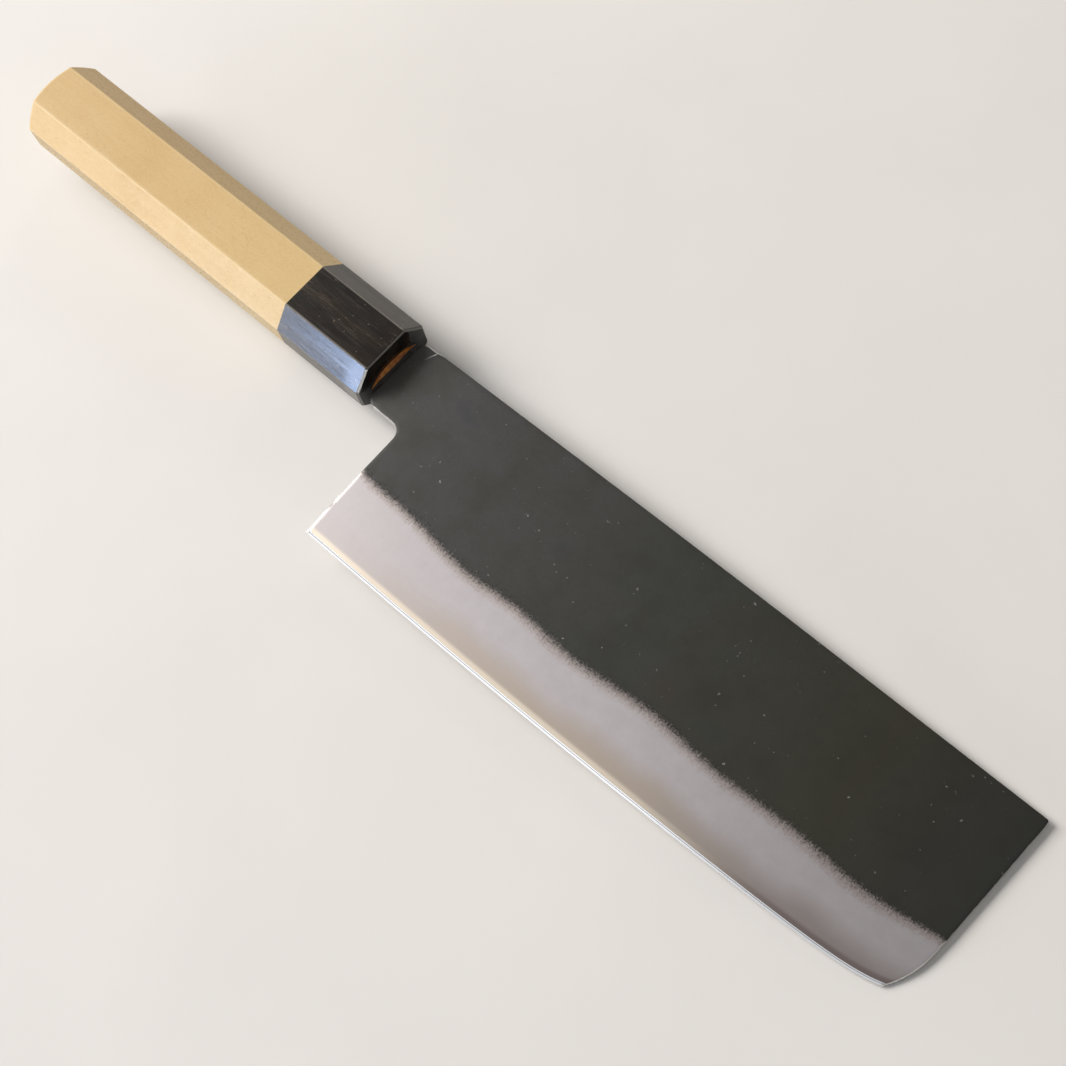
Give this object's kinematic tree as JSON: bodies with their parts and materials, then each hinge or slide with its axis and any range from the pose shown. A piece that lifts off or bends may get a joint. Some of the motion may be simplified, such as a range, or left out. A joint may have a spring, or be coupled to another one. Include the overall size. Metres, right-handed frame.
{
  "type": "nakiri knife",
  "caption": "Tall straight-edged vegetable knife: layered double-bevelled blade with a hidden tapered tang, octagonal wooden handle and horn ferrule.",
  "frame": {"origin": "below the middle of the whole knife, level with the lowest line of the handle when the knife lies on its left side", "axes": "+X from the butt of the handle to the front of the blade, +Y from the cutting edge to the spine, +Z out of the blade's right side, up as the knife lies"},
  "size_m": [0.3125, 0.057, 0.0192],
  "materials": {
    "forge_scale_iron": "black forge scale on the flats, bright ground bevel",
    "edge_steel": "hazy whetstone finish with a fine polished edge",
    "buffalo_horn": "polished black-brown horn",
    "magnolia_wood": "fine-sanded bare magnolia"
  },
  "bodies": {
    "root": {"cladding_right": "forge_scale_iron", "cladding_left": "forge_scale_iron", "edge_steel": "edge_steel", "ferrule": "buffalo_horn", "handle_body": "magnolia_wood"}
  },
  "joints": []
}
